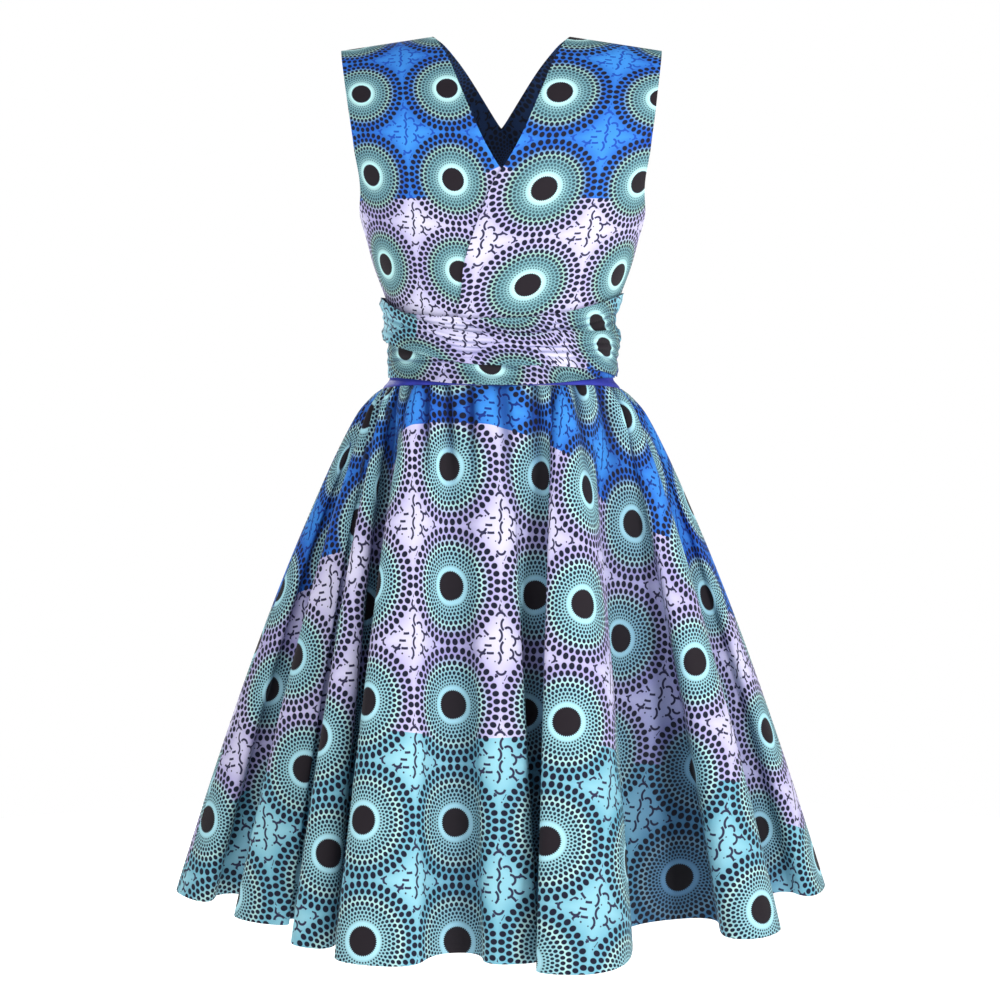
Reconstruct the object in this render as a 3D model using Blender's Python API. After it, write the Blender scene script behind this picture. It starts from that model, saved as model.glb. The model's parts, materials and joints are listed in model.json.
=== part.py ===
"""A sleeveless printed-cotton wrap dress with a gathered full skirt, as it stands when it is worn.

Metres, +Z up, the front faces -Y. The origin lies midway between the two shoulders, at the height
where the shoulder bands rest on the wearer. The dress is two long bands of cloth, each running from
the front waist over one shoulder and down the back, three stretches of the bands' ends wound round
the waist, a plain waistband, and a full skirt cut as a front and a back.
"""

import math

import bpy
import numpy as np

# Cloth and seams
WALL = 0.0015
SEAM_GAP = 0.0004
LAYER_GAP = 0.0004
BAND_LAY = 0.0008

# Heights, measured from the top of the shoulders
BODICE_HEM = -0.3765
WAISTBAND_TOP = -0.3500
WAISTBAND_FLARES_BELOW = -0.3765
WAISTBAND_FOOT = -0.3885
WAISTBAND_ROWS = (
    WAISTBAND_TOP, -0.3630, WAISTBAND_FLARES_BELOW, -0.3805, -0.3845, WAISTBAND_FOOT,
)
SKIRT_TOP = WAISTBAND_FOOT - SEAM_GAP
SKIRT_HEM = -0.981

# The waist seam is drawn up in the middle of the front, by the most at the seam itself
WAIST_RISE = 0.009
RISE_STARTS = -0.300
RISE_ENDS = -0.700
FRONT_OF_WAIST = 0.100

# The body's sections are ovals, a little squarer than an ellipse
SQUARENESS = 2.3

# The shoulders slope down towards the arms
SHOULDER_SLOPE = 0.15
SHOULDER_MIDDLE = 0.130
SLOPE_ENDS_BELOW = 0.200

# One band's sections from the front waist, over the shoulder, to the back waist. depth is forward of
# the shoulder line; inner and outer are how far the two edges lie from the middle of the body, and
# an outer edge of None is at the side of the body, where the front and the back of the band meet.
BAND_COLUMNS = ("height", "half_width", "depth", "inner", "outer")
BAND_SECTIONS = (
    (-0.3765, 0.1225, 0.0920, -0.056, None),
    (-0.3390, 0.1225, 0.0930, -0.053, None),
    (-0.3040, 0.1245, 0.0970, -0.048, None),
    (-0.2790, 0.1330, 0.1030, -0.044, None),
    (-0.2490, 0.1440, 0.1090, -0.041, None),
    (-0.2125, 0.1540, 0.1130, -0.030, None),
    (-0.1690, 0.1680, 0.1120, -0.013, 0.1565),
    (-0.1155, 0.1860, 0.1030, 0.021, 0.1630),
    (-0.0670, 0.1980, 0.0840, 0.0435, 0.1700),
    (-0.0290, 0.2040, 0.0560, 0.0595, 0.1760),
    (-0.0080, 0.2050, 0.0290, 0.071, 0.1795),
    (0.0000, 0.2050, 0.0000, 0.077, 0.1810),
    (-0.0080, 0.2050, -0.0290, 0.065, 0.1795),
    (-0.0290, 0.2040, -0.0550, 0.047, 0.1760),
    (-0.0670, 0.1980, -0.0790, 0.021, 0.1700),
    (-0.1155, 0.1860, -0.0930, -0.012, 0.1630),
    (-0.1690, 0.1680, -0.0990, -0.030, 0.1565),
    (-0.2125, 0.1540, -0.1000, -0.040, None),
    (-0.2490, 0.1440, -0.0970, -0.046, None),
    (-0.2790, 0.1330, -0.0940, -0.049, None),
    (-0.3040, 0.1245, -0.0910, -0.051, None),
    (-0.3390, 0.1225, -0.0880, -0.054, None),
    (-0.3765, 0.1225, -0.0870, -0.056, None),
)
BAND_ROWS = 28
BAND_STRIPS = 11
SECTION_SAMPLES = 400
BANDS_PART_AT = -0.100

# The wound stretches, from the innermost out: the height of the top and the bottom edge at the
# front, the wearer's left side, the back and the right side, then how many soft ridges run along the
# stretch and how high they are. The lower one reaches over the waistband's foot in front.
WRAPS = (
    ("wrap_lower", (-0.333, -0.328, -0.334, -0.326), (-0.3880, -0.3755, -0.3755, -0.3755), 1, 0.0008),
    ("wrap_upper", (-0.306, -0.279, -0.286, -0.298), (-0.338, -0.333, -0.340, -0.336), 2, 0.0016),
    ("wrap_crossing", (-0.325, -0.320, -0.296, -0.284), (-0.366, -0.3745, -0.348, -0.332), 3, 0.0014),
)
WRAP_CLEARANCE = 0.0016
WRAP_LAY = 0.0045
WRAP_FADE = 0.0100
WRAP_OFF_THE_FLARE = 0.0015
WRAP_SPANS = 48
WRAP_STRIPS = 7

# How far the waistband's foot stands out from the bands, and how the skirt widens to its hem
FOOT_OUT = 0.0135
FLARE_POWER = 0.75
GATHER_HEIGHT = 0.0024
GATHERS_FADE_BY = 0.30
GATHERS_PER_FLANK = 3

# The skirt's folds in the order in which they go round, from the seam on the wearer's right, across
# the front. A row is one fold: where its crest and the valley after it stand at the hem (across to
# the wearer's left, and forward), the way the crest faces, how far each bulges before and after its
# middle, and the places on the waist, in degrees from the middle of the front, that they run up to.
FOLD_COLUMNS = (
    "crest_across", "crest_forward", "faces", "lobe_before", "lobe_after", "crest_waist",
    "valley_across", "valley_forward", "pocket_before", "pocket_after", "valley_waist",
)
FRONT_FOLDS = (
    (-0.380, 0.006, -62, 0.024, 0.032, -88, -0.288, 0.026, 0.012, 0.014, -80),
    (-0.270, 0.124, -22, 0.028, 0.018, -75, -0.214, 0.110, 0.010, 0.014, -69),
    (-0.201, 0.214, -14, 0.023, 0.013, -63, -0.164, 0.125, 0.012, 0.016, -56),
    (-0.120, 0.274, -6, 0.045, 0.008, -40, -0.041, 0.228, 0.006, 0.004, -23),
    (0.001, 0.267, 0, 0.006, 0.026, -7, 0.050, 0.198, 0.012, 0.012, 13),
    (0.086, 0.300, 5, 0.042, 0.012, 26, 0.198, 0.108, 0.030, 0.022, 50),
    (0.286, 0.176, 28, 0.020, 0.018, 70, 0.300, 0.035, 0.012, 0.014, 79),
)
BACK_FOLDS = (
    (0.386, -0.028, 84, 0.028, 0.026, 90, 0.314, -0.080, 0.014, 0.014, 98),
    (0.348, -0.152, 122, 0.024, 0.022, 106, 0.254, -0.134, 0.015, 0.013, 114),
    (0.254, -0.242, 145, 0.025, 0.027, 122, 0.178, -0.180, 0.016, 0.016, 133),
    (0.154, -0.296, 162, 0.029, 0.024, 143, 0.090, -0.200, 0.016, 0.014, 155),
    (0.040, -0.310, 176, 0.027, 0.030, 167, -0.014, -0.218, 0.016, 0.018, 180),
    (-0.076, -0.308, 187, 0.028, 0.025, 193, -0.124, -0.192, 0.016, 0.014, 205),
    (-0.180, -0.282, 201, 0.024, 0.027, 217, -0.198, -0.168, 0.015, 0.016, 228),
    (-0.276, -0.222, 219, 0.025, 0.024, 239, -0.262, -0.120, 0.015, 0.014, 248),
    (-0.354, -0.118, 245, 0.023, 0.023, 257, -0.304, -0.046, 0.014, 0.014, 265),
)
SKIRT_LEVELS = (0.0, 0.025, 0.07, 0.13, 0.21, 0.31, 0.43, 0.57, 0.71, 0.86, 1.0)
FLANK_SPANS = 5

PRINT_BLUE = (0.18, 0.42, 0.66, 1.0)
PLAIN_BLUE = (0.03, 0.07, 0.38, 1.0)
COTTON_ROUGHNESS = 0.75


def clear_scene():
    for thing in list(bpy.data.objects):
        bpy.data.objects.remove(thing, do_unlink=True)


def cotton(name, colour):
    material = bpy.data.materials.new(name)
    material.use_nodes = True
    shader = material.node_tree.nodes["Principled BSDF"]
    shader.inputs["Base Color"].default_value = colour
    shader.inputs["Roughness"].default_value = COTTON_ROUGHNESS
    shader.inputs["Metallic"].default_value = 0.0
    return material


def column(rows, names, name):
    """One named column of a table, as an array."""
    return np.array([row[names.index(name)] for row in rows])


def smooth_through(stations, values, at):
    """Where a smooth curve through the values stands at each of the places in at."""
    stations, values = np.asarray(stations, float), np.asarray(values, float)
    slopes = np.gradient(values, stations)
    i = np.clip(np.searchsorted(stations, at) - 1, 0, len(stations) - 2)
    step = stations[i + 1] - stations[i]
    q = (at - stations[i]) / step
    rise = q * q * (3 - 2 * q)
    leave = q * (1 - q) ** 2 * step * slopes[i]
    arrive = q * q * (q - 1) * step * slopes[i + 1]
    return values[i] * (1 - rise) + values[i + 1] * rise + leave + arrive


def soft_step(value):
    value = np.clip(value, 0.0, 1.0)
    return value * value * (3 - 2 * value)


def inward(grid, closed):
    """Unit directions from a grid of points towards the body. closed: its columns go right round."""
    down = np.gradient(grid, axis=0)
    if closed:
        along = np.roll(grid, -1, axis=1) - np.roll(grid, 1, axis=1)
    else:
        along = np.gradient(grid, axis=1)
    normals = np.cross(along, down)
    normals[[0, -1], :, 2] = 0.0  # so that the top and the bottom edge of a piece are cut level
    return normals / np.linalg.norm(normals, axis=2, keepdims=True)


def drawn_up(points):
    """The points of the dress after its waist seam is drawn up in front."""
    height = points[:, 2]
    above = soft_step((RISE_STARTS - height) / (RISE_STARTS - BODICE_HEM))
    below = soft_step((height - RISE_ENDS) / (SKIRT_TOP - RISE_ENDS))
    in_front = soft_step(-points[:, 1] / FRONT_OF_WAIST)
    rise = WAIST_RISE * above * below * in_front
    return np.stack([points[:, 0], points[:, 1], height + rise], axis=1)


def cloth(name, outer, material, closed=False, thickness=None):
    """A wall of cloth whose outer face is the grid of points, with its thickness towards the body."""
    rows, columns = outer.shape[:2]
    inner = outer + (inward(outer, closed) * WALL if thickness is None else thickness)
    points = drawn_up(np.concatenate([outer.reshape(-1, 3), inner.reshape(-1, 3)]))
    back = rows * columns
    spans = columns if closed else columns - 1
    faces = []
    for r in range(rows - 1):
        for c in range(spans):
            a, b = r * columns + c, r * columns + (c + 1) % columns
            d, e = a + columns, b + columns
            faces.append((a, d, e, b))
            faces.append((a + back, b + back, e + back, d + back))
    for c in range(spans):
        for r, flip in ((0, False), (rows - 1, True)):
            a, b = r * columns + c, r * columns + (c + 1) % columns
            rim = (a, b, b + back, a + back)
            faces.append(rim[::-1] if flip else rim)
    if not closed:
        for r in range(rows - 1):
            for c, flip in ((0, True), (columns - 1, False)):
                a, d = r * columns + c, (r + 1) * columns + c
                rim = (a, d, d + back, a + back)
                faces.append(rim if not flip else rim[::-1])
    mesh = bpy.data.meshes.new(name)
    mesh.from_pydata([tuple(p) for p in points], [], faces)
    mesh.update()
    mesh.materials.append(material)
    mesh.shade_smooth()
    mesh.set_sharp_from_angle(angle=math.radians(60))
    thing = bpy.data.objects.new(name, mesh)
    bpy.context.scene.collection.objects.link(thing)


def band_stations():
    """How far along the band each section lies, and the columns of numbers of the table."""
    tables = {name: column(BAND_SECTIONS, BAND_COLUMNS, name) for name in BAND_COLUMNS[:4]}
    steps = np.hypot(np.diff(tables["height"]), np.diff(tables["depth"]))
    return np.concatenate([[0.0], np.cumsum(steps)]), tables


def band_points(rows, strips, side, over):
    """The outer face of one band. side is 1 for the wearer's left; over: it lies on the other band."""
    stations, tables = band_stations()
    outer = np.array([math.nan if row[4] is None else row[4] for row in BAND_SECTIONS])
    reach = np.where(np.isnan(outer), 1.0, outer / tables["half_width"])
    edge_angle = np.arcsin(reach ** (SQUARENESS / 2))
    start = np.abs(tables["inner"]) / tables["half_width"]
    start_angle = np.sign(tables["inner"]) * np.arcsin(start ** (SQUARENESS / 2))
    at = np.linspace(0.0, stations[-1], rows)
    height, half_width, depth = (
        smooth_through(stations, tables[name], at) for name in ("height", "half_width", "depth")
    )
    first, last = (smooth_through(stations, angle, at) for angle in (start_angle, edge_angle))
    half_gap = 0.5 * SEAM_GAP / np.maximum(np.abs(depth), SEAM_GAP)
    last = np.minimum(last, math.pi / 2 - half_gap ** (SQUARENESS / 2))
    share = np.linspace(0.0, 1.0, strips + 1)
    angle = first[:, None] + (last - first)[:, None] * share
    across = half_width[:, None] * np.sign(angle) * np.abs(np.sin(angle)) ** (2 / SQUARENESS)
    forward = depth[:, None] * np.abs(np.cos(angle)) ** (2 / SQUARENESS)
    slope = SHOULDER_SLOPE * soft_step(1 + height / SLOPE_ENDS_BELOW)
    drop = slope[:, None] * (np.abs(across) - SHOULDER_MIDDLE)
    grid = np.stack([side * across, -forward, height[:, None] - drop], axis=2)
    if side > 0:
        grid = grid[:, ::-1]
    apart = soft_step(height / BANDS_PART_AT)[:, None, None]
    return grid - inward(grid, False) * (WALL + over * apart * (BAND_LAY + WALL))


def body_sections(height):
    """The half width and the depths in front and behind that the bands have at a height."""
    stations, tables = band_stations()
    at = np.linspace(0.0, stations[-1], SECTION_SAMPLES)
    rise, half_width, depth = (
        smooth_through(stations, tables[name], at) for name in ("height", "half_width", "depth")
    )
    before, behind = depth > 0, depth < 0
    width = np.interp(height, rise[before], half_width[before])
    front = np.interp(height, rise[before], depth[before])
    back = np.interp(-height, -rise[behind], -depth[behind])
    return width, front, back


def round_the_body(angle, height, out):
    """Points this far out of the bands: angle is from the middle of the front to the wearer's left."""
    width, front, back = body_sections(height)
    s, c = np.sin(angle), np.cos(angle)
    across = (width + out) * np.sign(s) * np.abs(s) ** (2 / SQUARENESS)
    forward = (np.where(c > 0, front, back) + out) * np.sign(c) * np.abs(c) ** (2 / SQUARENESS)
    return np.stack(np.broadcast_arrays(across, -forward, height), axis=2)


def round_the_waist(quarters, angle):
    """A height that eases between its four values at the front, left, back and right."""
    turn = (angle / (math.pi / 2)) % 4
    i = np.floor(turn).astype(int) % 4
    values = np.array(quarters)
    return values[i] + (values[(i + 1) % 4] - values[i]) * soft_step(turn - np.floor(turn))


def waistband_out(height):
    """How far out of the bands the waistband's outer face lies: it flares towards the skirt."""
    flat = WALL + BAND_LAY + WALL + LAYER_GAP + WALL
    below = (WAISTBAND_FLARES_BELOW - height) / (WAISTBAND_FLARES_BELOW - WAISTBAND_FOOT)
    return flat + (FOOT_OUT - flat) * soft_step(below)


def wrap_out(level, angle, height):
    """How far out of the bands the outer face of a wound stretch lies."""
    over_bands = WALL + BAND_LAY + WALL + WRAP_CLEARANCE + WALL
    over_waistband = waistband_out(height - WRAP_OFF_THE_FLARE) + LAYER_GAP + WALL
    covered = soft_step((WAISTBAND_TOP + WRAP_LAY + WRAP_FADE - height) / WRAP_FADE)
    out = over_bands + (over_waistband - over_bands) * covered
    for below in WRAPS[:level]:
        top = round_the_waist(below[1], angle) + WRAP_LAY + WRAP_FADE
        bottom = round_the_waist(below[2], angle) - WRAP_LAY - WRAP_FADE
        covered = soft_step((top - height) / WRAP_FADE) * soft_step((height - bottom) / WRAP_FADE)
        out = out + covered * (below[4] + WALL + LAYER_GAP)
    top, bottom = (round_the_waist(WRAPS[level][k], angle) for k in (1, 2))
    share = (height - bottom) / (top - bottom)
    ridges = 0.5 - 0.5 * np.cos(2 * math.pi * WRAPS[level][3] * share)
    return out + WRAPS[level][4] * ridges


def wrap_points(level, spans, strips):
    """The outer face of a wound stretch, top edge first, all the way round the waist."""
    angle = np.linspace(0.0, 2 * math.pi, spans, endpoint=False)[None, :]
    share = np.linspace(1.0, 0.0, strips + 1)[:, None]
    top, bottom = (round_the_waist(WRAPS[level][k], angle) for k in (1, 2))
    height = bottom + (top - bottom) * share
    return round_the_body(angle, height, wrap_out(level, angle, height))


def waistband_points(spans):
    angle = np.linspace(0.0, 2 * math.pi, spans, endpoint=False)[None, :]
    height = np.array(WAISTBAND_ROWS)[:, None]
    return round_the_body(angle, height, waistband_out(height))


def fold_keys():
    """The crests and valleys in order: place at the hem, facing, bulge, and angle at the waist."""
    keys = []
    folds = FRONT_FOLDS + BACK_FOLDS
    following = FRONT_FOLDS[1:] + BACK_FOLDS + FRONT_FOLDS[:1]
    for fold, after in zip(folds, following):
        row, later = dict(zip(FOLD_COLUMNS, fold)), dict(zip(FOLD_COLUMNS, after))
        turn = (later["faces"] - row["faces"]) % 360
        keys.append((row["crest_across"], -row["crest_forward"], row["faces"],
                     row["lobe_before"], row["lobe_after"], row["crest_waist"]))
        keys.append((row["valley_across"], -row["valley_forward"], row["faces"] + turn / 2,
                     row["pocket_before"], row["pocket_after"], row["valley_waist"]))
    keys.append((*keys[0][:2], keys[0][2] + 360, *keys[0][3:5], keys[0][5] + 360))
    return np.array(keys)


def skirt_rings(flank_spans):
    """The skirt's line at the hem and at the waist, point by point, and the gathers at the waist."""
    keys = fold_keys()
    keys[:, 2] = np.degrees(np.unwrap(np.radians(keys[:, 2])))
    q = np.linspace(0.0, 1.0, flank_spans, endpoint=False)
    hem, waist, gathers = [], [], []
    for start, end in zip(keys[:-1], keys[1:]):
        facing = np.radians(start[2] + (end[2] - start[2]) * q)
        along = np.stack([np.cos(facing), np.sin(facing)], axis=1)
        middle = math.radians((start[2] + end[2]) / 2)
        side = np.array([math.cos(middle), math.sin(middle)])
        way = end[:2] - start[:2]
        sideways = side * (way @ side)
        eased = 0.5 - 0.5 * np.cos(math.pi * q)
        bulge = np.sin(2 * math.pi * q) * np.where(q < 0.5, start[4], end[3])
        hem.append(start[:2] + sideways * q[:, None] + (way - sideways) * eased[:, None]
                   + along * bulge[:, None])
        angle = np.radians(start[5] + (end[5] - start[5]) * q)
        waist.append(round_the_body(angle[None, :], np.array([[BODICE_HEM]]), FOOT_OUT)[0, :, :2])
        wave = (-1) ** len(gathers) * np.cos(GATHERS_PER_FLANK * math.pi * q)
        gathers.append(np.stack([np.sin(angle), -np.cos(angle)], axis=1) * wave[:, None])
    return np.concatenate(hem), np.concatenate(waist), np.concatenate(gathers)


def skirt_points(levels, flank_spans):
    """The skirt's outer face, from the waist down, all the way round."""
    hem, waist, gathers = skirt_rings(flank_spans)
    down = np.array(levels)[:, None, None]
    flat = waist + (hem - waist) * down ** FLARE_POWER
    flat = flat + gathers * GATHER_HEIGHT * np.clip(1 - down / GATHERS_FADE_BY, 0, 1) ** 2
    height = SKIRT_TOP + (SKIRT_HEM - SKIRT_TOP) * down
    return np.concatenate([flat, np.broadcast_to(height, (*flat.shape[:2], 1))], axis=2)


def panel(name, ring, first, last, material):
    """The ring's columns from first to last as one panel, a little short of the seam at both ends."""
    columns = range(first, last + 1)
    outer = np.take(ring, columns, axis=1, mode="wrap").copy()
    thickness = np.take(inward(ring, True), columns, axis=1, mode="wrap") * WALL
    for end, beside in ((0, 1), (-1, -2)):
        way = outer[:, beside] - outer[:, end]
        way = way / np.linalg.norm(way, axis=1, keepdims=True)
        outer[:, end] = outer[:, end] + way * SEAM_GAP
    cloth(name, outer, material, thickness=thickness)


def main():
    clear_scene()
    printed = cotton("printed_cotton", PRINT_BLUE)
    plain = cotton("plain_cotton", PLAIN_BLUE)
    cloth("band_right", band_points(BAND_ROWS, BAND_STRIPS, -1, over=False), printed)
    cloth("band_left", band_points(BAND_ROWS, BAND_STRIPS, 1, over=True), printed)
    for level, wrap in enumerate(WRAPS):
        cloth(wrap[0], wrap_points(level, WRAP_SPANS, WRAP_STRIPS), printed, closed=True)
    cloth("waistband", waistband_points(WRAP_SPANS), plain, closed=True)
    skirt = skirt_points(SKIRT_LEVELS, FLANK_SPANS)
    side_seam = 2 * len(FRONT_FOLDS) * FLANK_SPANS
    panel("skirt_front", skirt, 0, side_seam, printed)
    panel("skirt_back", skirt, side_seam, skirt.shape[1], printed)


main()
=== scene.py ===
"""The looks of a sleeveless printed-cotton wrap dress with a gathered full skirt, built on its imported
solids. Metres, +Z up, the front faces -Y, the origin midway between the shoulders."""

import json
import math

import bpy
import numpy as np
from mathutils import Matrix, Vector

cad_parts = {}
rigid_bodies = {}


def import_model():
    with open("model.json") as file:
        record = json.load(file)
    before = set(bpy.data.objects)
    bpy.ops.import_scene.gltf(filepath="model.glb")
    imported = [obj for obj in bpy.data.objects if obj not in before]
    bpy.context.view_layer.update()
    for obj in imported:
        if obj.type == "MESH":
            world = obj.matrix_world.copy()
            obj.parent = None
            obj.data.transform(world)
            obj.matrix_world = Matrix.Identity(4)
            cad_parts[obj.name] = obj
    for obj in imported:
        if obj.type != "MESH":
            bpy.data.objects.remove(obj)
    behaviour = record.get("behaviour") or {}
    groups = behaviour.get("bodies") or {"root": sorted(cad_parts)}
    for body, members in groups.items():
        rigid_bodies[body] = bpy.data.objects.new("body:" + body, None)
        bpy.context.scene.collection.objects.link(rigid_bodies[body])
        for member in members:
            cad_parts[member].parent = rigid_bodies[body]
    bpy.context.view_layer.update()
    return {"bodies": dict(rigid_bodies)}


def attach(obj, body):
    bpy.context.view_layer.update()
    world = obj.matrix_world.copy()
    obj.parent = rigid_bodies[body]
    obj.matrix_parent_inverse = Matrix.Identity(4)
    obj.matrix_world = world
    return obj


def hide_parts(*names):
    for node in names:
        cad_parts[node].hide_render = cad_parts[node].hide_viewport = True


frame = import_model()
DRESS = next(iter(frame["bodies"]))

# The two shoulder bands
#
# Two long bands of printed cotton, each cut in one length that runs from the front waist over one
# shoulder and down to the back waist. Their long edges are turned under once and topstitched. The
# wearer's left band lies over the right one where they cross below the neck, in front and behind.

COTTON = 0.0008
SQUARENESS = 2.3
SHOULDER_SLOPE = 0.15
SHOULDER_MIDDLE = 0.130
SLOPE_ENDS_BELOW = 0.200
BAND_WALL = 0.0015
BAND_LAY = 0.0008
BANDS_PART_AT = -0.100
SIDE_GAP = 0.0004

# Height, half the body's width, depth in front of the shoulder line, and how far the inner and the
# outer edge lie from the middle; None is at the side, where the front and the back of it meet
BAND_SECTIONS = (
    (-0.3765, 0.1225, 0.0920, -0.056, None),
    (-0.3390, 0.1225, 0.0930, -0.053, None),
    (-0.3040, 0.1245, 0.0970, -0.048, None),
    (-0.2790, 0.1330, 0.1030, -0.044, None),
    (-0.2490, 0.1440, 0.1090, -0.041, None),
    (-0.2125, 0.1540, 0.1130, -0.030, None),
    (-0.1690, 0.1680, 0.1120, -0.013, 0.1565),
    (-0.1155, 0.1860, 0.1030, 0.021, 0.1630),
    (-0.0670, 0.1980, 0.0840, 0.0435, 0.1700),
    (-0.0290, 0.2040, 0.0560, 0.0595, 0.1760),
    (-0.0080, 0.2050, 0.0290, 0.071, 0.1795),
    (0.0000, 0.2050, 0.0000, 0.077, 0.1810),
    (-0.0080, 0.2050, -0.0290, 0.065, 0.1795),
    (-0.0290, 0.2040, -0.0550, 0.047, 0.1760),
    (-0.0670, 0.1980, -0.0790, 0.021, 0.1700),
    (-0.1155, 0.1860, -0.0930, -0.012, 0.1630),
    (-0.1690, 0.1680, -0.0990, -0.030, 0.1565),
    (-0.2125, 0.1540, -0.1000, -0.040, None),
    (-0.2490, 0.1440, -0.0970, -0.046, None),
    (-0.2790, 0.1330, -0.0940, -0.049, None),
    (-0.3040, 0.1245, -0.0910, -0.051, None),
    (-0.3390, 0.1225, -0.0880, -0.054, None),
    (-0.3765, 0.1225, -0.0870, -0.056, None),
)
HEIGHTS, HALF_WIDTHS, DEPTHS, INNERS = (
    np.array([row[k] for row in BAND_SECTIONS], float) for k in range(4)
)
OUTERS = np.array([math.nan if row[4] is None else row[4] for row in BAND_SECTIONS])
STATIONS = np.concatenate([[0.0], np.cumsum(np.hypot(np.diff(HEIGHTS), np.diff(DEPTHS)))])


def smooth_through(values, at):
    """Where a smooth curve through one of the bands' columns stands, this far along the band."""
    slopes = np.gradient(values, STATIONS)
    i = np.clip(np.searchsorted(STATIONS, at) - 1, 0, len(STATIONS) - 2)
    step = STATIONS[i + 1] - STATIONS[i]
    q = (at - STATIONS[i]) / step
    rise = q * q * (3 - 2 * q)
    leave = q * (1 - q) ** 2 * step * slopes[i]
    arrive = q * q * (q - 1) * step * slopes[i + 1]
    return values[i] * (1 - rise) + values[i + 1] * rise + leave + arrive


def soft_step(value):
    value = np.clip(value, 0.0, 1.0)
    return value * value * (3 - 2 * value)


def inward(grid):
    """Unit directions from the outer side of a piece of cloth towards the body."""
    normals = np.cross(np.gradient(grid, axis=1), np.gradient(grid, axis=0))
    normals[[0, -1], :, 2] = 0.0
    return normals / np.linalg.norm(normals, axis=2, keepdims=True)


WAIST_SEAM = -0.3765
SKIRT_STARTS = -0.3889
# The waist seam is drawn up in the middle of the front, and the cloth above and below follows it
WAIST_RISE = 0.009
RISE_STARTS = -0.300
RISE_ENDS = -0.700
FRONT_OF_WAIST = 0.100


def drawn_up(points):
    """The points of the dress after its waist seam is drawn up in the middle of the front."""
    height = points[:, 2]
    above = soft_step((RISE_STARTS - height) / (RISE_STARTS - WAIST_SEAM))
    below = soft_step((height - RISE_ENDS) / (SKIRT_STARTS - RISE_ENDS))
    rise = WAIST_RISE * above * below * soft_step(-points[:, 1] / FRONT_OF_WAIST)
    return np.stack([points[:, 0], points[:, 1], height + rise], axis=1)


def run_along(grid, axis):
    """How far each point of a grid lies along the cloth from the first row or column."""
    steps = np.linalg.norm(np.diff(grid, axis=axis), axis=2)
    start = np.zeros_like(np.take(steps, [0], axis=axis))
    return np.concatenate([start, np.cumsum(steps, axis=axis)], axis=axis)


def repeats(across, along, first_disc, next_across, next_down):
    """Places on the flat cloth, counted in repeats of the print from the middle of its first disc."""
    (ax, ay), (dx, dy) = next_across, next_down
    x, y = across - first_disc[0], along - first_disc[1]
    return np.stack([(dy * x - dx * y), (ax * y - ay * x)], axis=2) / (ax * dy - ay * dx)


SHARP_FROM_DEGREES = 60


def shell(name, face, print_place, dye, seam_place, materials, thickness=None, painted_fold_shade=None):
    """A piece of cloth with both its sides and its cut edges, from the grid of its outer side.

    print_place is where each point lay in the print, dye which of the cloth's colours it has,
    seam_place how far each point lies along and in from the piece's sewn edge, and the last, the
    painted shade, how far each point's colour is darkened in folds and creases, from 0 to 1."""
    rows, columns = face.shape[:2]
    depth = inward(face) * COTTON if thickness is None else thickness
    points = drawn_up(np.concatenate([face.reshape(-1, 3), (face + depth).reshape(-1, 3)]))
    index = np.arange(rows * columns).reshape(rows, columns)
    a, b, d, e = (x.ravel() for x in (index[:-1, :-1], index[:-1, 1:], index[1:, :-1], index[1:, 1:]))
    back = rows * columns
    front_faces = np.stack([a, d, e, b], axis=1)
    back_faces = np.stack([a, b, e, d], axis=1) + back
    edge = np.concatenate([index[0, ::-1], index[1:, 0], index[-1, 1:], index[-2::-1, -1]])
    start, end = edge[:-1], edge[1:]
    rim_faces = np.stack([start, start + back, end + back, end], axis=1)
    faces = np.concatenate([front_faces, rim_faces, back_faces])
    mesh = bpy.data.meshes.new(name)
    mesh.from_pydata(points.tolist(), [], faces.tolist())
    corners = faces.ravel() % back
    for layer, place in (("print", print_place), ("seam", seam_place)):
        uv = mesh.uv_layers.new(name=layer)
        uv.data.foreach_set("uv", place.reshape(-1, 2)[corners].ravel())
    folded = np.zeros(face.shape[:2]) if painted_fold_shade is None else painted_fold_shade
    # The mesh carries the dye zones and the painted shade of folds and creases
    for layer, values in (("dye", dye), ("painted_fold_shade", folded)):
        attribute = mesh.attributes.new(layer, "FLOAT", "POINT")
        attribute.data.foreach_set("value", np.tile(values.ravel(), 2))
    for material in materials:
        mesh.materials.append(material)
    inside = np.arange(len(faces)) >= len(front_faces) + len(rim_faces)
    mesh.polygons.foreach_set("material_index", inside.astype(int))
    mesh.update()
    mesh.shade_smooth()
    mesh.set_sharp_from_angle(angle=math.radians(SHARP_FROM_DEGREES))
    piece = bpy.data.objects.new(name, mesh)
    bpy.context.scene.collection.objects.link(piece)
    return piece


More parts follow.
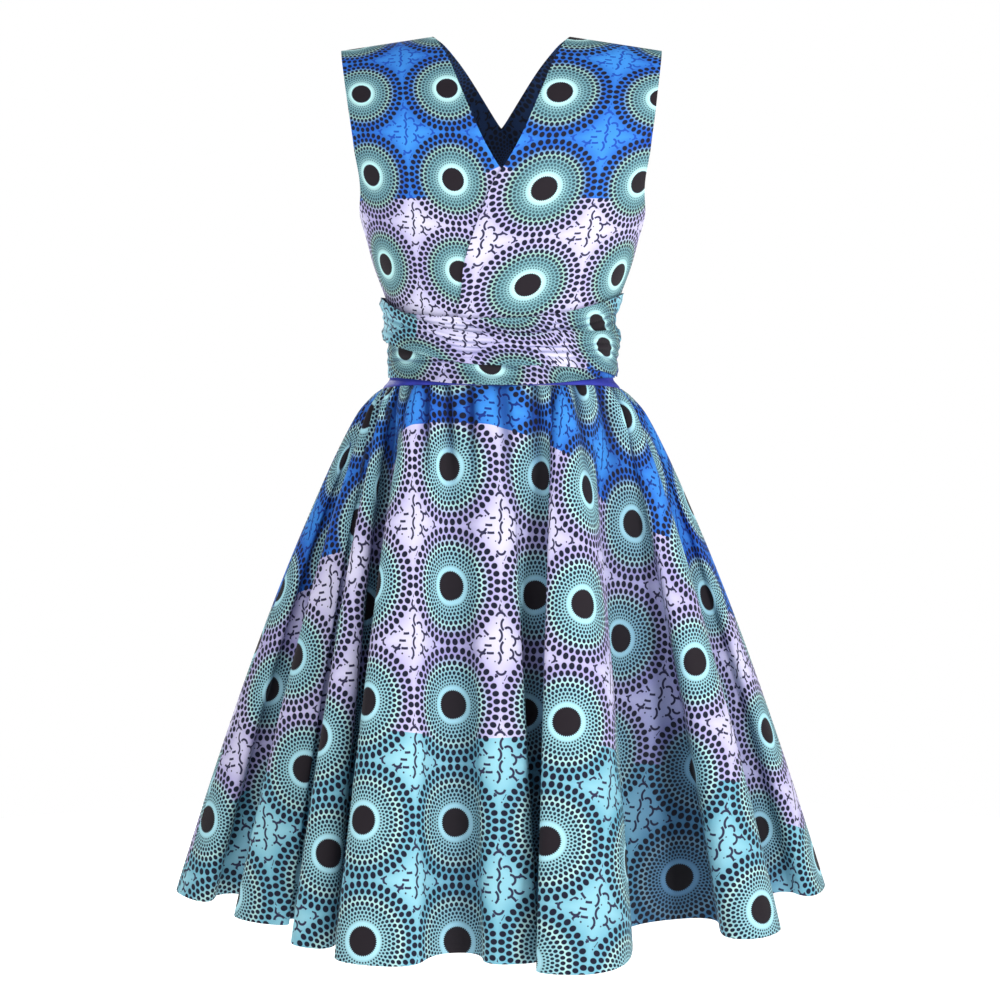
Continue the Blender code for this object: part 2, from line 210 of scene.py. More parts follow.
def band_face(rows, strips, side, over):
    """The outer side of one band. side is 1 for the wearer's left; over: it lies on the other one."""
    along = np.linspace(0.0, STATIONS[-1], rows)
    height, half_width, depth = (smooth_through(v, along) for v in (HEIGHTS, HALF_WIDTHS, DEPTHS))
    reach = np.where(np.isnan(OUTERS), 1.0, OUTERS / HALF_WIDTHS)
    start = np.sign(INNERS) * np.arcsin((np.abs(INNERS) / HALF_WIDTHS) ** (SQUARENESS / 2))
    first, last = (smooth_through(v, along) for v in (start, np.arcsin(reach ** (SQUARENESS / 2))))
    half_gap = 0.5 * SIDE_GAP / np.maximum(np.abs(depth), SIDE_GAP)
    last = np.minimum(last, math.pi / 2 - half_gap ** (SQUARENESS / 2))
    angle = first[:, None] + (last - first)[:, None] * np.linspace(0.0, 1.0, strips + 1)
    across = half_width[:, None] * np.sign(angle) * np.abs(np.sin(angle)) ** (2 / SQUARENESS)
    forward = depth[:, None] * np.abs(np.cos(angle)) ** (2 / SQUARENESS)
    slope = SHOULDER_SLOPE * soft_step(1 + height / SLOPE_ENDS_BELOW)
    drop = slope[:, None] * (np.abs(across) - SHOULDER_MIDDLE)
    grid = np.stack([side * across, -forward, height[:, None] - drop], axis=2)
    if side > 0:
        grid = grid[:, ::-1]
    apart = soft_step(height / BANDS_PART_AT)[:, None, None]
    return grid - inward(grid) * (BAND_WALL + over * apart * (BAND_LAY + BAND_WALL))


# The printed cotton: rows of discs on a square repeat, each a black centre in a pale ring with
# eight rings of dots that grow outwards, and loose strokes and specks in the corners between them.
# All sizes are in repeats, from the middle of a disc.
CENTRE = 0.122
SPIKES = 0.004
FIRST_DOTS = 0.178
RING_GROWTH = 1.148
DOTS_ROUND = 44
LAST_RING = 7
DOT_SIZE = 0.455
INNER_DOTS_LESS = 0.10
LESS_FROM_RING_TO_RING = 0.55
DOT_STRETCH = 1.22
DOT_SOFTNESS = 0.05
DISC_REACHES = 0.51
CENTRE_SOFTNESS = 0.004
LINE_SOFTNESS = 0.003
STROKE_HALF_WIDTH = 0.0104
STRAIGHT = 0.200
# Strokes: middle of the arc's circle, its radius, the way the arc faces in degrees, half its sweep
STROKES = (
    ((-0.062, 0.100), 0.062, 0, 52), ((0.062, 0.012), 0.062, 180, 52), ((-0.052, -0.088), 0.062, 0, 55),
    ((0.066, -0.180), 0.062, 180, 50), ((-0.092, -0.138), STRAIGHT, 90, 9),
    ((-0.104, -0.202), STRAIGHT, 92, 9), ((-0.088, -0.262), STRAIGHT, 86, 8),
    ((0.078, 0.062), 0.038, 5, 88), ((0.096, -0.046), 0.042, 350, 82),
    ((0.066, -0.122), 0.036, 300, 80), ((0.004, 0.196), 0.042, 88, 78), ((-0.022, 0.288), 0.038, 200, 70),
    ((0.030, 0.352), 0.032, 15, 74), ((0.000, -0.236), 0.042, 268, 76), ((0.022, -0.318), 0.038, 160, 70),
    ((-0.022, -0.388), 0.030, 338, 64), ((0.172, 0.030), 0.036, 100, 80), ((0.192, -0.042), 0.036, 278, 62),
    ((0.272, 0.000), 0.036, 0, 82), ((-0.172, 0.022), 0.036, 82, 80), ((-0.192, -0.050), 0.032, 250, 70),
    ((-0.272, 0.000), 0.036, 180, 80), ((0.350, 0.010), 0.026, 120, 72), ((-0.350, -0.010), 0.026, 300, 72),
    ((-0.123, 0.170), STRAIGHT, 30, 8), ((0.123, -0.190), STRAIGHT, 210, 8),
    ((-0.011, 0.251), STRAIGHT, 315, 9), ((0.011, -0.251), STRAIGHT, 135, 9),
    ((-0.150, 0.098), 0.034, 225, 76), ((0.150, -0.104), 0.034, 45, 70),
)
# Specks: where they lie, and their radius
SPECKS = (
    ((-0.115, 0.105), 0.0085), ((-0.050, 0.130), 0.0065), ((0.005, 0.115), 0.0070), ((0.060, 0.115), 0.0065),
    ((0.160, 0.120), 0.0080), ((-0.040, 0.240), 0.0085), ((0.090, 0.210), 0.0065), ((0.040, -0.060), 0.0065),
    ((0.060, -0.250), 0.0090), ((-0.040, -0.190), 0.0070), ((-0.140, -0.080), 0.0070),
    ((0.200, -0.080), 0.0070), ((-0.215, 0.045), 0.0065), ((0.255, 0.020), 0.0070),
    ((0.020, 0.310), 0.0065), ((0.010, -0.300), 0.0060),
)


def feed(tree, sockets, values):
    for socket, value in zip(sockets, values):
        if isinstance(value, bpy.types.NodeSocket):
            tree.links.new(value, socket)
        else:
            socket.default_value = value


def maths(tree, operation, *values):
    node = tree.nodes.new("ShaderNodeMath")
    node.operation = operation
    feed(tree, node.inputs, values)
    return node.outputs[0]


def vectors(tree, operation, *values):
    node = tree.nodes.new("ShaderNodeVectorMath")
    node.operation = operation
    feed(tree, node.inputs, values)
    return node.outputs["Value" if operation in ("LENGTH", "DOT_PRODUCT") else "Vector"]


def edge_at(tree, value, edge, softness):
    """1 where the value is under the edge, fading to 0 across the softness."""
    node = tree.nodes.new("ShaderNodeMapRange")
    node.interpolation_type = "SMOOTHSTEP"
    low = maths(tree, "SUBTRACT", edge, softness)
    high = maths(tree, "ADD", edge, softness)
    feed(tree, node.inputs, (value, low, high, 1.0, 0.0))
    return node.outputs[0]


def tinted(tree, factor, below, above):
    """The colour below, covered by the colour above as far as the factor says."""
    node = tree.nodes.new("ShaderNodeMix")
    node.data_type = "RGBA"
    feed(tree, (node.inputs[0], node.inputs[6], node.inputs[7]), (factor, below, above))
    return node.outputs[2]


def dyed(red, green, blue):
    """A colour given as a screen shows it, from 0 to 255."""
    return (*(((c / 255 + 0.055) / 1.055) ** 2.4 for c in (red, green, blue)), 1.0)


def held_between(tree, value, low, high):
    return maths(tree, "MINIMUM", maths(tree, "MAXIMUM", value, low), high)


def split_up(tree, place):
    node = tree.nodes.new("ShaderNodeSeparateXYZ")
    tree.links.new(place, node.inputs[0])
    return node.outputs


def cloth_place(tree, layer):
    """Where a point lies in the print, counted in repeats, or along and in from the sewn edge."""
    node = tree.nodes.new("ShaderNodeUVMap")
    node.uv_map = layer
    return node.outputs[0]


def carried(tree, layer):
    """A value that the cloth carries from point to point."""
    node = tree.nodes.new("ShaderNodeAttribute")
    node.attribute_name = layer
    return node.outputs["Fac"]


def mottled(tree, scale, detail):
    """A value that wanders over the cloth, as the take-up of a dye does."""
    node = tree.nodes.new("ShaderNodeTexNoise")
    node.inputs["Scale"].default_value = scale
    node.inputs["Detail"].default_value = detail
    tree.links.new(tree.nodes.new("ShaderNodeTexCoord").outputs["Object"], node.inputs["Vector"])
    return node.outputs["Fac"]


def rings_of_dots(tree, radius, turn):
    """1 on the dots, whose rings and whose sizes grow outwards, each ring staggered to the next."""
    outwards = maths(tree, "LOGARITHM", maths(tree, "DIVIDE", radius, FIRST_DOTS), RING_GROWTH)
    ring = held_between(tree, maths(tree, "ROUND", outwards), 0.0, float(LAST_RING))
    half_a_dot = maths(tree, "MULTIPLY", maths(tree, "MODULO", ring, 2.0), 0.5)
    staggered = maths(tree, "ADD", turn, half_a_dot)
    sideways = maths(tree, "SUBTRACT", staggered, maths(tree, "ROUND", staggered))
    stretched = maths(tree, "MULTIPLY", sideways, DOT_STRETCH)
    off_ring = maths(tree, "SUBTRACT", outwards, ring)
    squares = [maths(tree, "MULTIPLY", side, side) for side in (stretched, off_ring)]
    from_dot = maths(tree, "SQRT", maths(tree, "ADD", *squares))
    less = maths(tree, "MULTIPLY", INNER_DOTS_LESS, maths(tree, "POWER", LESS_FROM_RING_TO_RING, ring))
    return edge_at(tree, from_dot, maths(tree, "SUBTRACT", DOT_SIZE, less), DOT_SOFTNESS)


def strokes_and_specks(tree, from_corner):
    """1 on the loose marks between the discs."""
    marks = 0.0
    for middle, bend, facing, sweep in STROKES:
        away = vectors(tree, "SUBTRACT", from_corner, (*middle, 0.0))
        reach = vectors(tree, "LENGTH", away)
        off = maths(tree, "ABSOLUTE", maths(tree, "SUBTRACT", reach, bend))
        aim = (math.cos(math.radians(facing)), math.sin(math.radians(facing)), 0.0)
        ahead = vectors(tree, "DOT_PRODUCT", away, aim)
        end_of_sweep = maths(tree, "MULTIPLY", reach, math.cos(math.radians(sweep)))
        within = maths(tree, "GREATER_THAN", ahead, end_of_sweep)
        line = maths(tree, "MULTIPLY", within, edge_at(tree, off, STROKE_HALF_WIDTH, LINE_SOFTNESS))
        marks = maths(tree, "MAXIMUM", marks, line)
    for middle, size in SPECKS:
        reach = vectors(tree, "LENGTH", vectors(tree, "SUBTRACT", from_corner, (*middle, 0.0)))
        marks = maths(tree, "MAXIMUM", marks, edge_at(tree, reach, size, LINE_SOFTNESS))
    return marks


def printed_figure():
    """The node group of the print's figure: its ink, its centre, the way from a disc, and its dots."""
    tree = bpy.data.node_groups.new("printed figure", "ShaderNodeTree")
    tree.interface.new_socket("Place", in_out="INPUT", socket_type="NodeSocketVector")
    for name in ("Ink", "Centre", "Radius", "Dots"):
        tree.interface.new_socket(name, in_out="OUTPUT", socket_type="NodeSocketFloat")
    place = tree.nodes.new("NodeGroupInput").outputs[0]
    ends = tree.nodes.new("NodeGroupOutput")

    nearest = vectors(tree, "FLOOR", vectors(tree, "ADD", place, (0.5, 0.5, 0.0)))
    from_disc = vectors(tree, "SUBTRACT", place, nearest)
    radius = vectors(tree, "LENGTH", from_disc)
    x, y = split_up(tree, from_disc)[:2]
    turn = maths(tree, "MULTIPLY", maths(tree, "ARCTAN2", y, x), DOTS_ROUND / math.tau)
    dots = rings_of_dots(tree, radius, turn)

    spiky = maths(tree, "MULTIPLY", maths(tree, "COSINE", maths(tree, "MULTIPLY", turn, math.tau)), SPIKES)
    centre = edge_at(tree, maths(tree, "ADD", radius, spiky), CENTRE, CENTRE_SOFTNESS)

    corner = vectors(tree, "ADD", vectors(tree, "FLOOR", place), (0.5, 0.5, 0.0))
    marks = strokes_and_specks(tree, vectors(tree, "SUBTRACT", place, corner))
    marks = maths(tree, "MULTIPLY", marks, maths(tree, "GREATER_THAN", radius, DISC_REACHES))
    ink = maths(tree, "MAXIMUM", maths(tree, "MAXIMUM", dots, marks), centre)
    feed(tree, ends.inputs, (ink, centre, radius, dots))
    return tree


FIGURE = printed_figure()


def figure_on(tree):
    """The print's figure laid on a piece of cloth."""
    node = tree.nodes.new("ShaderNodeGroup")
    node.node_tree = FIGURE
    tree.links.new(cloth_place(tree, "print"), node.inputs[0])
    return node.outputs


def cloth_material(name, roughness):
    material = bpy.data.materials.new(name)
    material.use_nodes = True
    shader = material.node_tree.nodes["Principled BSDF"]
    shader.inputs["Roughness"].default_value = roughness
    return material, material.node_tree, shader


THREADS_PER_REPEAT = 210
THREAD_HEIGHT = 0.06
HEM_TURN = 0.0095
HEM_SOFTNESS = 0.0007
HEM_HEIGHT = 0.5
STITCH_LINE = 0.008
STITCH_HALF_WIDTH = 0.0005
STITCH_SOFTNESS = 0.0003
STITCH_LENGTH = 0.0028
STITCH_SHOWS_ABOVE = -0.4
STITCH_DEPTH = 0.35
BUMP_HEIGHT = 0.0006
BUMP_STRENGTH = 0.6


def woven_and_stitched(tree, shader):
    """Bump for the plain weave's threads, and for the turned hem with its row of stitches."""
    threads = [maths(tree, "SINE", maths(tree, "MULTIPLY", side, math.tau * THREADS_PER_REPEAT))
               for side in split_up(tree, cloth_place(tree, "print"))[:2]]
    weave = maths(tree, "MULTIPLY", maths(tree, "MULTIPLY", *threads), THREAD_HEIGHT)
    along, inset = split_up(tree, cloth_place(tree, "seam"))[:2]
    turned = maths(tree, "MULTIPLY", edge_at(tree, inset, HEM_TURN, HEM_SOFTNESS), HEM_HEIGHT)
    off_line = maths(tree, "ABSOLUTE", maths(tree, "SUBTRACT", inset, STITCH_LINE))
    swing = maths(tree, "SINE", maths(tree, "MULTIPLY", along, math.tau / STITCH_LENGTH))
    row = edge_at(tree, off_line, STITCH_HALF_WIDTH, STITCH_SOFTNESS)
    stitches = maths(tree, "MULTIPLY", row, maths(tree, "GREATER_THAN", swing, STITCH_SHOWS_ABOVE))
    hem = maths(tree, "SUBTRACT", turned, maths(tree, "MULTIPLY", stitches, STITCH_DEPTH))
    bump = tree.nodes.new("ShaderNodeBump")
    bump.inputs["Strength"].default_value = BUMP_STRENGTH
    bump.inputs["Distance"].default_value = BUMP_HEIGHT
    tree.links.new(maths(tree, "ADD", weave, hem), bump.inputs["Height"])
    tree.links.new(bump.outputs[0], shader.inputs["Normal"])


# The ground of each zone, close to the discs and between them
BLUE = (dyed(26, 80, 186), dyed(62, 150, 234))
LAVENDER = (dyed(172, 164, 214), dyed(222, 218, 244))
AQUA = (dyed(98, 168, 192), dyed(152, 210, 224))
# Between the discs the ground is lighter, and patchy
BETWEEN_DISCS = 0.53
BETWEEN_SOFTNESS = 0.09
LIGHTER_BETWEEN = 0.6
PATCH_SCALE = 11.0
PATCH_DETAIL = 3.0
PATCH_CONTRAST = 1.2
PATCH_DARKENS = 0.38
CENTRE_INK = dyed(27, 20, 28)
DOT_INK = dyed(14, 18, 42)
STROKE_INK = dyed(44, 42, 72)
# Where the disc's ground turns lighter, where it ends, and where its finest dots end
OUTER_GROUND_FROM, OUTER_SOFTNESS = 0.305, 0.03
DISC_GROUND, DISC_SOFTNESS = 0.372, 0.045
FINE_DOTS_TO, FINE_SOFTNESS = 0.27, 0.07
GLOW_POWER = 1.8
# Painted shade: what is left of each colour in the bottom of a deep fold or right beside other cloth
PAINTED_SHADE_COLOUR = (0.20, 0.26, 0.40, 1)
FOLDS_SHADE_WITHIN = 0.045
FOLDS_SAMPLES = 6
NEARBY_SHADE = 0.55


def zone_colour(tree, radius, dye, in_blue):
    """The ground's colour between the discs: blue, lavender or aqua, patchy and darker at the discs."""
    off_discs = maths(tree, "SUBTRACT", 1.0, edge_at(tree, radius, BETWEEN_DISCS, BETWEEN_SOFTNESS))
    patches = maths(tree, "MULTIPLY", mottled(tree, PATCH_SCALE, PATCH_DETAIL), PATCH_CONTRAST)
    patches = maths(tree, "SUBTRACT", patches, PATCH_DARKENS)
    light = maths(tree, "ADD", maths(tree, "MULTIPLY", off_discs, LIGHTER_BETWEEN), patches)
    light = held_between(tree, light, 0.0, 1.0)
    blue, lavender, aqua = (tinted(tree, light, *ground) for ground in (BLUE, LAVENDER, AQUA))
    above = tinted(tree, in_blue, lavender, blue)
    return tinted(tree, maths(tree, "GREATER_THAN", dye, 1.0), above, aqua)


# Painted shade: each colour is darkened towards the shade colour above, as far as the fold shade that the
# mesh carries and the nearness of other cloth (ambient occlusion) say
def darken_with_painted_shade(tree, colour):
    nearby = tree.nodes.new("ShaderNodeAmbientOcclusion")
    nearby.samples = FOLDS_SAMPLES
    nearby.inputs["Distance"].default_value = FOLDS_SHADE_WITHIN
    hidden = maths(tree, "MULTIPLY", maths(tree, "SUBTRACT", 1.0, nearby.outputs["AO"]), NEARBY_SHADE)
    shade = maths(tree, "MINIMUM", maths(tree, "ADD", carried(tree, "painted_fold_shade"), hidden), 1.0)
    return vectors(tree, "MULTIPLY", colour, tinted(tree, shade, (1, 1, 1, 1), PAINTED_SHADE_COLOUR))


def printed_cotton(name, ring_colour, ground_colour, outer_ground, glow, inner_ink, blue_marks):
    """The face of the printed cotton. The pale ring fades into the disc's ground between the two
    distances of glow, outer_ground is the ground's colour in the outer rings of the disc, inner_ink the
    colour of the finest dots, and blue_marks that of the strokes on the blue."""
    material, tree, shader = cloth_material(name, roughness=0.72)
    shader.inputs["Specular IOR Level"].default_value = 0.22
    shader.inputs["Sheen Weight"].default_value = 0.04
    shader.inputs["Sheen Roughness"].default_value = 0.5
    ink, centre, radius, dots = figure_on(tree)
    dye = carried(tree, "dye")
    in_blue = maths(tree, "LESS_THAN", dye, 0.0)

    outer = edge_at(tree, maths(tree, "MULTIPLY", radius, -1.0), -OUTER_GROUND_FROM, OUTER_SOFTNESS)
    disc = tinted(tree, outer, ground_colour, outer_ground)
    zone = zone_colour(tree, radius, dye, in_blue)
    ground = tinted(tree, edge_at(tree, radius, DISC_GROUND, DISC_SOFTNESS), zone, disc)
    fade = maths(tree, "DIVIDE", maths(tree, "SUBTRACT", glow[1], radius), glow[1] - glow[0])
    fade = maths(tree, "POWER", held_between(tree, fade, 0.0, 1.0), GLOW_POWER)
    ground = tinted(tree, fade, ground, ring_colour)

    dot_ink = tinted(tree, edge_at(tree, radius, FINE_DOTS_TO, FINE_SOFTNESS), DOT_INK, inner_ink)
    mark_ink = tinted(tree, in_blue, STROKE_INK, blue_marks)
    inked = tinted(tree, ink, ground, tinted(tree, dots, mark_ink, dot_ink))
    inked = tinted(tree, centre, inked, CENTRE_INK)
    # The base colour carries the painted shade of the folds and creases
    tree.links.new(darken_with_painted_shade(tree, inked), shader.inputs["Base Color"])
    woven_and_stitched(tree, shader)
    return material


def reverse_with_painted_shade():
    """The unprinted side, where the figure shows faintly through; its colours are kept dark as painted shade
    for the inside of the dress.
    """
    material, tree, shader = cloth_material("reverse of the print with painted shade", roughness=0.8)
    # Painted shade: both colours are dark, as the inside of the dress lies in shade
    colour = tinted(tree, figure_on(tree)[0], dyed(30, 62, 112), dyed(14, 24, 46))
    tree.links.new(colour, shader.inputs["Base Color"])
    woven_and_stitched(tree, shader)
    return material


BODICE_PRINT = printed_cotton(
    "bodice print", ring_colour=dyed(198, 246, 246), ground_colour=dyed(116, 164, 172),
    outer_ground=dyed(150, 190, 182), glow=(0.128, 0.240), inner_ink=dyed(66, 104, 112),
    blue_marks=dyed(26, 76, 178),
)
REVERSE_WITH_PAINTED_SHADE = reverse_with_painted_shade()

BAND_ROWS = 300
BAND_STRIPS = 64
# The blue reaches from the shoulder down to this far along the band from the waist, less the lean
BLUE_ENDS = 0.234
BLUE_LEAN = 0.42
LEANS_AS_FAR_AS = 0.075
ZONE_LENGTH = 0.30

for name, side, over, first_disc, next_across, next_down in (
    ("band_right", -1, False, (-0.060, 0.319), (0.099, -0.0085), (0.007, -0.098)),
    ("band_left", 1, True, (0.0640, 0.314), (0.120, 0.0118), (-0.0175, -0.1027)),
):
    face = band_face(BAND_ROWS, BAND_STRIPS, side, over)
    across = run_along(face, 1)
    inner_edge = 0 if side < 0 else -1
    across = face[:, [inner_edge], 0] + across[:, [inner_edge]] - across
    along = np.broadcast_to(np.linspace(0.0, STATIONS[-1], BAND_ROWS)[:, None], across.shape)
    from_waist = np.minimum(along, STATIONS[-1] - along)
    lean = BLUE_LEAN * np.minimum(np.abs(across), LEANS_AS_FAR_AS)
    dye = (BLUE_ENDS - lean - from_waist) / ZONE_LENGTH
    width = run_along(face, 1)
    inset = np.minimum(width, width[:, -1:] - width)
    piece = shell(name + "_cloth", face, repeats(across, along, first_disc, next_across, next_down), dye,
                  np.stack([along, inset], axis=2), (BODICE_PRINT, REVERSE_WITH_PAINTED_SHADE))
    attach(piece, DRESS)
    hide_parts(name)


# The waistband
#
# A plain royal blue band, sewn to the foot of the two shoulder bands and to the top of the skirt. It
# shows only at the sides of the waist, below the wound ends, and flares a little onto the gathers.

WAISTBAND_TOP = -0.3500
WAISTBAND_FOOT = -0.3885
LAYER_GAP = 0.0004
FOOT_OUT = 0.0135
WAIST_COLUMNS = 241
WAISTBAND_ROWS = 22
THREAD_REPEAT = 0.12
SLUB_SCALE = 60.0
SLUB_DETAIL = 2.0
FINE_STEPS = 400


def body_sections(height):
    """The half width and the depths in front and behind that the bands have at a height."""
    along = np.linspace(0.0, STATIONS[-1], FINE_STEPS)
    rise, half_width, depth = (smooth_through(v, along) for v in (HEIGHTS, HALF_WIDTHS, DEPTHS))
    before, behind = depth > 0, depth < 0
    width = np.interp(height, rise[before], half_width[before])
    front = np.interp(height, rise[before], depth[before])
    back = np.interp(-height, -rise[behind], -depth[behind])
    return width, front, back


def round_the_body(angle, height, out):
    """Points this far out of the bands: angle is from the middle of the front to the wearer's left."""
    width, front, back = body_sections(height)
    s, c = np.sin(angle), np.cos(angle)
    across = (width + out) * np.sign(s) * np.abs(s) ** (2 / SQUARENESS)
    forward = (np.where(c > 0, front, back) + out) * np.sign(c) * np.abs(c) ** (2 / SQUARENESS)
    return np.stack(np.broadcast_arrays(across, -forward, height), axis=2)


def waistband_out(height):
    flat = BAND_WALL + BAND_LAY + BAND_WALL + LAYER_GAP + BAND_WALL
    below = (WAIST_SEAM - height) / (WAIST_SEAM - WAISTBAND_FOOT)
    return flat + (FOOT_OUT - flat) * soft_step(below)


def plain_cotton():
    material, tree, shader = cloth_material("plain blue cotton", roughness=0.7)
    colour = tinted(tree, mottled(tree, SLUB_SCALE, SLUB_DETAIL), dyed(32, 40, 140), dyed(52, 62, 186))
    tree.links.new(colour, shader.inputs["Base Color"])
    woven_and_stitched(tree, shader)
    return material


PLAIN = plain_cotton()
angle = np.linspace(-math.pi, math.pi, WAIST_COLUMNS)[None, :]
height = np.linspace(WAISTBAND_TOP, WAISTBAND_FOOT, WAISTBAND_ROWS)[:, None]
face = round_the_body(angle, height, waistband_out(height))
around, down = run_along(face, 1), run_along(face, 0)
threads = repeats(around, down, (0.0, 0.0), (THREAD_REPEAT, 0.0), (0.0, THREAD_REPEAT))
piece = shell("waistband_cloth", face, threads, np.zeros(face.shape[:2]),
              np.stack([around, down[-1] - down], axis=2), (PLAIN, PLAIN))
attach(piece, DRESS)
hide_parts("waistband")


# The skirt
#
# Two flared panels of the printed cotton, joined at the side seams and gathered into the waistband.
# The gathers run out a hand's breadth below the waist and leave deep round folds, and the hem is
# turned up narrow and stitched.

SKIRT_HEM = -0.981
FLARE_POWER = 0.75
GATHER_HEIGHT = 0.0024
GATHERS_FADE_BY = 0.30
PLEAT_DEPTH = 0.0048
PLEATS_PEAK_AT = 0.05
GATHERS_PER_FLANK = 3
GATHER_SHARPNESS = 2.0
# One fold a row, from the seam on the wearer's right across the front: where its crest stands at the
# hem, the way it faces, its bulge to both sides, its place at the waist; then the valley after it
FRONT_FOLDS = (
    (-0.380, 0.006, -62, 0.024, 0.032, -88, -0.288, 0.026, 0.012, 0.014, -80),
    (-0.270, 0.124, -22, 0.028, 0.018, -75, -0.214, 0.110, 0.010, 0.014, -69),
    (-0.201, 0.214, -14, 0.023, 0.013, -63, -0.164, 0.125, 0.012, 0.016, -56),
    (-0.120, 0.274, -6, 0.045, 0.008, -40, -0.041, 0.228, 0.006, 0.004, -23),
    (0.001, 0.267, 0, 0.006, 0.026, -7, 0.050, 0.198, 0.012, 0.012, 13),
    (0.086, 0.300, 5, 0.042, 0.012, 26, 0.198, 0.108, 0.030, 0.022, 50),
    (0.286, 0.176, 28, 0.020, 0.018, 70, 0.300, 0.035, 0.012, 0.014, 79),
)
BACK_FOLDS = (
    (0.386, -0.028, 84, 0.028, 0.026, 90, 0.314, -0.080, 0.014, 0.014, 98),
    (0.348, -0.152, 122, 0.024, 0.022, 106, 0.254, -0.134, 0.015, 0.013, 114),
    (0.254, -0.242, 145, 0.025, 0.027, 122, 0.178, -0.180, 0.016, 0.016, 133),
    (0.154, -0.296, 162, 0.029, 0.024, 143, 0.090, -0.200, 0.016, 0.014, 155),
    (0.040, -0.310, 176, 0.027, 0.030, 167, -0.014, -0.218, 0.016, 0.018, 180),
    (-0.076, -0.308, 187, 0.028, 0.025, 193, -0.124, -0.192, 0.016, 0.014, 205),
    (-0.180, -0.282, 201, 0.024, 0.027, 217, -0.198, -0.168, 0.015, 0.016, 228),
    (-0.276, -0.222, 219, 0.025, 0.024, 239, -0.262, -0.120, 0.015, 0.014, 248),
    (-0.354, -0.118, 245, 0.023, 0.023, 257, -0.304, -0.046, 0.014, 0.014, 265),
)
FLANK_SPANS = 20
SKIRT_LEVELS = 116


def fold_keys():
    """The crests and valleys in order: place at the hem, facing, bulge, and angle at the waist."""
    keys = []
    folds = FRONT_FOLDS + BACK_FOLDS
    for fold, after in zip(folds, folds[1:] + folds[:1]):
        turn = (after[2] - fold[2]) % 360
        keys.append((fold[0], -fold[1], *fold[2:6]))
        keys.append((fold[6], -fold[7], fold[2] + turn / 2, *fold[8:]))
    keys.append((*keys[0][:2], keys[0][2] + 360, *keys[0][3:5], keys[0][5] + 360))
    keys = np.array(keys)
    keys[:, 2] = np.degrees(np.unwrap(np.radians(keys[:, 2])))
    return keys


def skirt_rings():
    """The skirt's line at the hem and at the waist, point by point, and the gathers at the waist: the
    way each point moves out, and how far, from -1 between two gathers to 1 on a gather."""
    q = np.linspace(0.0, 1.0, FLANK_SPANS, endpoint=False)
    hem, waist, gathers = [], [], []
    keys = fold_keys()
    for start, end in zip(keys[:-1], keys[1:]):
        facing = np.radians(start[2] + (end[2] - start[2]) * q)
        along = np.stack([np.cos(facing), np.sin(facing)], axis=1)
        middle = math.radians((start[2] + end[2]) / 2)
        side = np.array([math.cos(middle), math.sin(middle)])
        way = end[:2] - start[:2]
        sideways = side * (way @ side)
        eased = 0.5 - 0.5 * np.cos(math.pi * q)
        bulge = np.sin(2 * math.pi * q) * np.where(q < 0.5, start[4], end[3])
        hem.append(start[:2] + sideways * q[:, None] + (way - sideways) * eased[:, None]
                   + along * bulge[:, None])
        turn = np.radians(start[5] + (end[5] - start[5]) * q)
        waist.append(round_the_body(turn[None, :], np.array([[WAIST_SEAM]]), FOOT_OUT)[0, :, :2])
        wave = np.cos(GATHERS_PER_FLANK * math.pi * q) * (-1) ** len(gathers)
        wave = 1 - 2 * (0.5 - 0.5 * wave) ** GATHER_SHARPNESS
        gathers.append(np.stack([np.sin(turn), -np.cos(turn), np.ones(len(q))], axis=1) * wave[:, None])
    return np.concatenate(hem), np.concatenate(waist), np.concatenate(gathers)


def skirt_face():
    hem, waist, gathers = skirt_rings()
    down = np.linspace(0.0, 1.0, SKIRT_LEVELS)[:, None, None]
    flat = waist + (hem - waist) * down ** FLARE_POWER
    fade = np.clip(1 - down / GATHERS_FADE_BY, 0, 1) ** 2
    deeper = PLEAT_DEPTH * soft_step(down / PLEATS_PEAK_AT)
    flat = flat + gathers[:, :2] * (GATHER_HEIGHT + deeper) * fade
    rise = SKIRT_STARTS + (SKIRT_HEM - SKIRT_STARTS) * down
    return np.concatenate([flat, np.broadcast_to(rise, (*flat.shape[:2], 1))], axis=2)


SKIRT_PRINT = printed_cotton(
    "skirt print", ring_colour=dyed(172, 224, 236), ground_colour=dyed(148, 198, 208),
    outer_ground=dyed(178, 220, 220), glow=(0.152, 0.176), inner_ink=dyed(14, 42, 60),
    blue_marks=dyed(18, 50, 132),
)
# The panels lie flat as parts of a ring. Where the front's crests and valleys lie round it, in order
# from the side seam on the wearer's right, as the turn in radians from the row of discs that hangs
# straight down
INNER_RADIUS = 0.98
FRONT_TURNS = (-0.528, -0.453, -0.378, -0.333, -0.258, -0.195, -0.062, 0.004,
               0.043, 0.111, 0.196, 0.330, 0.405, 0.495, 0.590)
BACK_SPREAD = 1.25
FRONT_CUT, FRONT_AREA = (1.69, 0.77), 0.888
BACK_CUT, BACK_AREA = (1.88, 0.81), 1.0
DISC_PITCH = 0.126
FIRST_DISC_ROW = 1.0717
# How far down the ring the blue and the lavender end in the middle, and how much lower the blue and
# how much higher the lavender ends from one column of discs to the next
BLUE_TO = 1.024
LAVENDER_TO = 1.360
BLUE_SAGS = (0.20, 0.13)
BLUE_SAGS_AS_FAR_AS = 2.8
LAVENDER_RISES = 0.08
MIDDLE_ROUNDED = 0.5
GATHERED_DOWN_TO = 0.3


